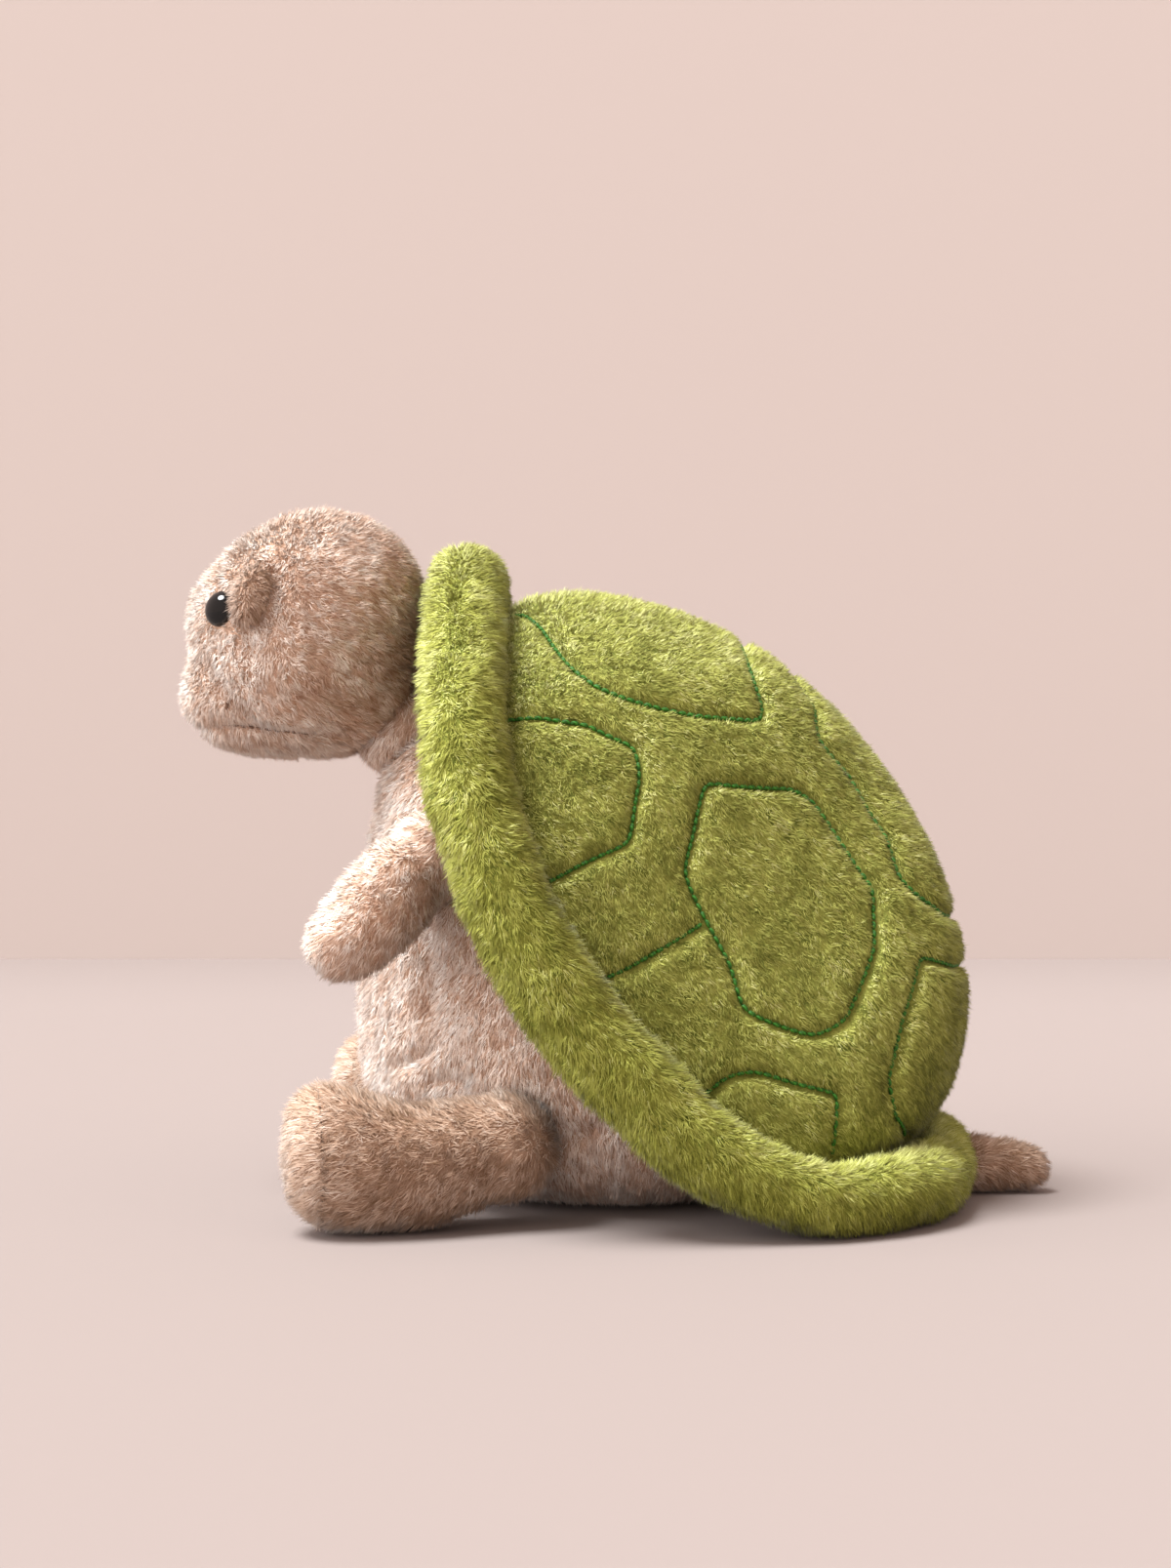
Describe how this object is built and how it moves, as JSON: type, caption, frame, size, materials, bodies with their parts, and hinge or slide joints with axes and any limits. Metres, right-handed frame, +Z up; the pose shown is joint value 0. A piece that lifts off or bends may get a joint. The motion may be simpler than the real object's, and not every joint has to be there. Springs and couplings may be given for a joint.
{
  "type": "plush turtle",
  "caption": "Seated stuffed toy turtle in long-pile plush, with a quilted domed shell, a padded rim, bead eyes and soft jointed head, limbs and tail.",
  "frame": {"origin": "on the floor, below the middle of the whole toy", "axes": "+Z up; the turtle looks along -X, its tail is at +X; +Y is its right side, and the plane y = 0 divides it into mirrored halves"},
  "size_m": [0.3535, 0.266, 0.28],
  "materials": {
    "taupe_plush": "long-pile plush, matt",
    "brow_plush": "short-pile plush, matt",
    "green_plush": "long-pile plush, matt",
    "lime_plush": "long-pile plush, matt",
    "green_thread": "twisted polyester thread",
    "brown_thread": "twisted polyester thread",
    "lining_cloth": "woven lining, matt",
    "fibre_fill": "loose polyester fibre",
    "pellet_cloth": "woven bag, matt",
    "black_plastic": "polished",
    "white_plastic": "moulded"
  },
  "bodies": {
    "torso": {"body_skin": "taupe_plush", "body_filling": "fibre_fill", "seat_pellet_bag": "pellet_cloth", "shell_cover": "green_plush", "shell_lining": "lining_cloth", "shell_filling": "fibre_fill", "shell_rim": "lime_plush", "rim_filling": "fibre_fill", "seam_thread_spine_front": "green_thread", "seam_thread_spine_middle": "green_thread", "seam_thread_spine_rear": "green_thread", "seam_thread_side_front_left": "green_thread", "seam_thread_side_middle_left": "green_thread", "seam_thread_side_link_left": "green_thread", "seam_thread_side_rear_left": "green_thread", "seam_thread_side_front_right": "green_thread", "seam_thread_side_middle_right": "green_thread", "seam_thread_side_link_right": "green_thread", "seam_thread_side_rear_right": "green_thread"},
    "neck": {"neck_filling": "fibre_fill"},
    "head": {"head_skin": "taupe_plush", "head_filling": "fibre_fill", "mouth_thread": "brown_thread", "eye_left": "black_plastic", "eye_washer_left": "white_plastic", "eyelid_left": "brow_plush", "nostril_thread_left": "brown_thread", "eye_right": "black_plastic", "eye_washer_right": "white_plastic", "eyelid_right": "brow_plush", "nostril_thread_right": "brown_thread"},
    "arm_left": {"arm_skin_left": "taupe_plush", "arm_filling_left": "fibre_fill"},
    "leg_left": {"leg_skin_left": "taupe_plush", "sole_left": "taupe_plush", "leg_filling_left": "fibre_fill"},
    "arm_right": {"arm_skin_right": "taupe_plush", "arm_filling_right": "fibre_fill"},
    "leg_right": {"leg_skin_right": "taupe_plush", "sole_right": "taupe_plush", "leg_filling_right": "fibre_fill"},
    "tail": {"tail_skin": "taupe_plush", "tail_filling": "fibre_fill"}
  },
  "joints": [
    {"name": "head_turn", "type": "hinge", "parent": "torso", "child": "neck", "pos_m": [-0.086, 0, 0.19], "axis": [-0.6508, 0, 0.7593], "range_deg": [-20, 20], "stiffness_Nm_per_rad": 2},
    {"name": "head_nod", "type": "hinge", "parent": "neck", "child": "head", "pos_m": [-0.086, 0, 0.19], "axis": [0, -1, 0], "range_deg": [0, 15], "stiffness_Nm_per_rad": 2},
    {"name": "arm_left_swing", "type": "hinge", "parent": "torso", "child": "arm_left", "pos_m": [-0.068, -0.066, 0.14], "axis": [0, 1, 0], "range_deg": [-10, 40], "stiffness_Nm_per_rad": 0.3},
    {"name": "leg_left_lift", "type": "hinge", "parent": "torso", "child": "leg_left", "pos_m": [-0.042, -0.081, 0.0295], "axis": [0, 1, 0], "range_deg": [0, 15], "stiffness_Nm_per_rad": 1},
    {"name": "arm_right_swing", "type": "hinge", "parent": "torso", "child": "arm_right", "pos_m": [-0.068, 0.066, 0.14], "axis": [0, 1, 0], "range_deg": [-10, 40], "stiffness_Nm_per_rad": 0.3},
    {"name": "leg_right_lift", "type": "hinge", "parent": "torso", "child": "leg_right", "pos_m": [-0.042, 0.081, 0.0295], "axis": [0, 1, 0], "range_deg": [0, 15], "stiffness_Nm_per_rad": 1},
    {"name": "tail_wag", "type": "hinge", "parent": "torso", "child": "tail", "pos_m": [0.14599, 0, 0.0115], "axis": [0, 0, 1], "range_deg": [-20, 20], "stiffness_Nm_per_rad": 0.02}
  ]
}
